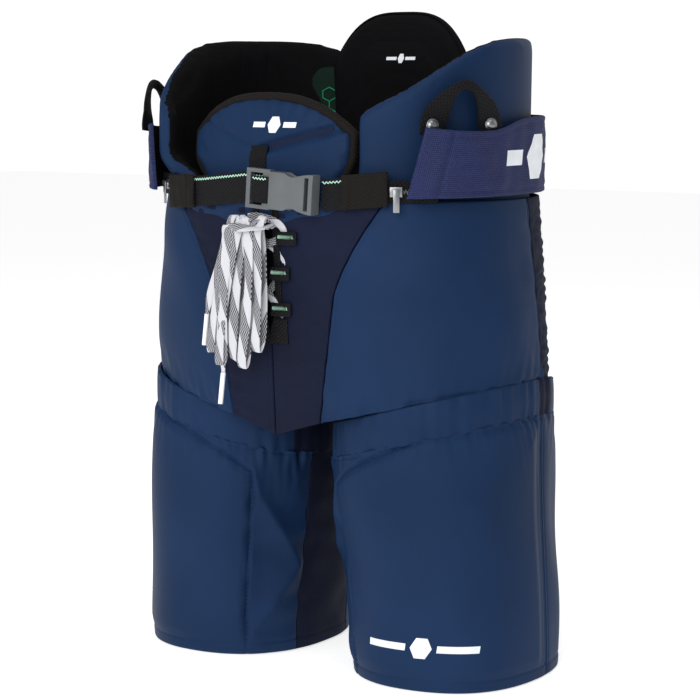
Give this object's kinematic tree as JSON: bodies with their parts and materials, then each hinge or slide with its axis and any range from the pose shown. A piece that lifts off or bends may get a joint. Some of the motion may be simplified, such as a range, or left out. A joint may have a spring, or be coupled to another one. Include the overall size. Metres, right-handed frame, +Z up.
{
  "type": "ice hockey pants",
  "caption": "Padded ice hockey pants with hip, back and belly pads, a buckled belt, a laced fly, hanging loops and legs that bend below a soft band.",
  "frame": {"origin": "middle of the footprint, with both hems standing on z = 0", "axes": "+Z up, the front faces -Y, and the wearer's left is +X"},
  "size_m": [0.372, 0.2644, 0.546],
  "materials": {
    "navy_nylon": "tight woven nylon with a faint sheen",
    "stretch_fabric": "ribbed stretch weave, dull",
    "band_mesh": "fine spacer mesh",
    "black_lining": "smooth lining over foam",
    "black_webbing": "woven webbing",
    "brown_binding": "rolled binding tape",
    "guard_plastic": "moulded polyethylene sheet",
    "foam": "closed-cell foam in a thin cover",
    "grey_plastic": "fine moulded grain",
    "lace_fabric": "flat woven lace, white with charcoal checks",
    "clear_plastic": "clear heat-shrunk tip",
    "nickel": "bright nickel plate"
  },
  "bodies": {
    "pants": {"left_thigh_panel_upper": "navy_nylon", "left_seat_panel": "navy_nylon", "left_hip_pad": "navy_nylon", "left_groin_panel": "stretch_fabric", "left_side_strip": "stretch_fabric", "left_flex_band": "stretch_fabric", "left_mesh_band": "band_mesh", "left_hip_guard": "guard_plastic", "left_zip_tape": "black_webbing", "left_lace_loop_1": "black_webbing", "left_lace_loop_2": "black_webbing", "left_lace_loop_3": "black_webbing", "left_belt_tunnel": "brown_binding", "left_loop_rivets": "nickel", "right_thigh_panel_upper": "navy_nylon", "right_seat_panel": "navy_nylon", "right_hip_pad": "navy_nylon", "right_groin_panel": "stretch_fabric", "right_side_strip": "stretch_fabric", "right_flex_band": "stretch_fabric", "right_mesh_band": "band_mesh", "right_hip_guard": "guard_plastic", "right_zip_tape": "black_webbing", "right_lace_loop_1": "black_webbing", "right_lace_loop_2": "black_webbing", "right_lace_loop_3": "black_webbing", "right_belt_tunnel": "brown_binding", "right_loop_rivets": "nickel", "crotch_gusset": "stretch_fabric", "fly_tongue": "black_lining", "tailbone_guard": "foam", "belt_webbing_left": "black_webbing", "belt_webbing_right": "black_webbing", "buckle_female": "grey_plastic", "lace_lacing": "lace_fabric", "lace_hank": "lace_fabric", "lace_aglet_front": "clear_plastic", "lace_aglet_rear": "clear_plastic"},
    "left_leg": {"left_thigh_panel_lower": "navy_nylon", "left_back_leg_panel": "navy_nylon", "left_inner_thigh_panel": "stretch_fabric", "left_thigh_guard": "guard_plastic", "left_thigh_foam": "foam"},
    "right_leg": {"right_thigh_panel_lower": "navy_nylon", "right_back_leg_panel": "navy_nylon", "right_inner_thigh_panel": "stretch_fabric", "right_thigh_guard": "guard_plastic", "right_thigh_foam": "foam"},
    "belly_guard": {"belly_pad": "navy_nylon", "keeper_strap": "black_webbing"},
    "back_guard": {"back_pad": "black_lining"},
    "buckle_half": {"buckle_male": "grey_plastic"},
    "upper_prong": {"buckle_prong_upper": "grey_plastic"},
    "lower_prong": {"buckle_prong_lower": "grey_plastic"},
    "left_loop": {"left_hanging_loop": "black_webbing"},
    "left_slider": {"left_zip_slider": "nickel"},
    "left_pull": {"left_zip_pull": "nickel"},
    "right_loop": {"right_hanging_loop": "black_webbing"},
    "right_slider": {"right_zip_slider": "nickel"},
    "right_pull": {"right_zip_pull": "nickel"}
  },
  "joints": [
    {"name": "left_thigh_flex", "type": "hinge", "parent": "pants", "child": "left_leg", "pos_m": [0.1, 0.00235, 0.218], "axis": [-1, 0, 0], "range_deg": [-8, 12], "stiffness_Nm_per_rad": 6, "deforming": ["left_flex_band"]},
    {"name": "right_thigh_flex", "type": "hinge", "parent": "pants", "child": "right_leg", "pos_m": [-0.1, 0.00235, 0.218], "axis": [-1, 0, 0], "range_deg": [-8, 12], "stiffness_Nm_per_rad": 6, "deforming": ["right_flex_band"]},
    {"name": "belly_pad_tilt", "type": "hinge", "parent": "pants", "child": "belly_guard", "pos_m": [-0.009, -0.1097, 0.374], "axis": [-1, 0, 0], "range_deg": [0, 15], "stiffness_Nm_per_rad": 1.5},
    {"name": "back_pad_tilt", "type": "hinge", "parent": "pants", "child": "back_guard", "pos_m": [0, 0.0923, 0.308], "axis": [1, 0, 0], "range_deg": [0, 12], "stiffness_Nm_per_rad": 12},
    {"name": "buckle_slide", "type": "slide", "parent": "pants", "child": "buckle_half", "axis": [-0.9976, 0, 0.0698], "range_m": [0, 0.025], "deforming": ["belt_webbing_right", "buckle_prong_upper", "buckle_prong_lower"]},
    {"name": "upper_prong_press", "type": "hinge", "parent": "buckle_half", "child": "upper_prong", "pos_m": [0.01134, -0.12415, 0.40906], "axis": [0, 1, 0], "range_deg": [0, 8], "stiffness_Nm_per_rad": 0.3},
    {"name": "lower_prong_press", "type": "hinge", "parent": "buckle_half", "child": "lower_prong", "pos_m": [0.01031, -0.12415, 0.3943], "axis": [0, -1, 0], "range_deg": [0, 8], "stiffness_Nm_per_rad": 0.3},
    {"name": "left_zip_slide", "type": "slide", "parent": "pants", "child": "left_slider", "axis": [-0.796, -0.6052, 0], "range_m": [-0.024, 0]},
    {"name": "left_pull_swing", "type": "hinge", "parent": "left_slider", "child": "left_pull", "pos_m": [0.1166, -0.10366, 0.4038], "axis": [-0.796, -0.6052, 0], "range_deg": [0, 110]},
    {"name": "left_loop_tilt", "type": "hinge", "parent": "pants", "child": "left_loop", "pos_m": [0.14584, -0.05611, 0.4595], "axis": [0.4424, 0.8968, 0], "range_deg": [0, 50], "stiffness_Nm_per_rad": 0.05},
    {"name": "right_zip_slide", "type": "slide", "parent": "pants", "child": "right_slider", "axis": [0.796, -0.6052, 0], "range_m": [-0.024, 0]},
    {"name": "right_pull_swing", "type": "hinge", "parent": "right_slider", "child": "right_pull", "pos_m": [-0.1166, -0.10366, 0.4038], "axis": [-0.796, 0.6052, 0], "range_deg": [0, 110]},
    {"name": "right_loop_tilt", "type": "hinge", "parent": "pants", "child": "right_loop", "pos_m": [-0.15914, -0.05611, 0.4595], "axis": [0.2421, -0.9703, 0], "range_deg": [0, 50], "stiffness_Nm_per_rad": 0.05}
  ]
}
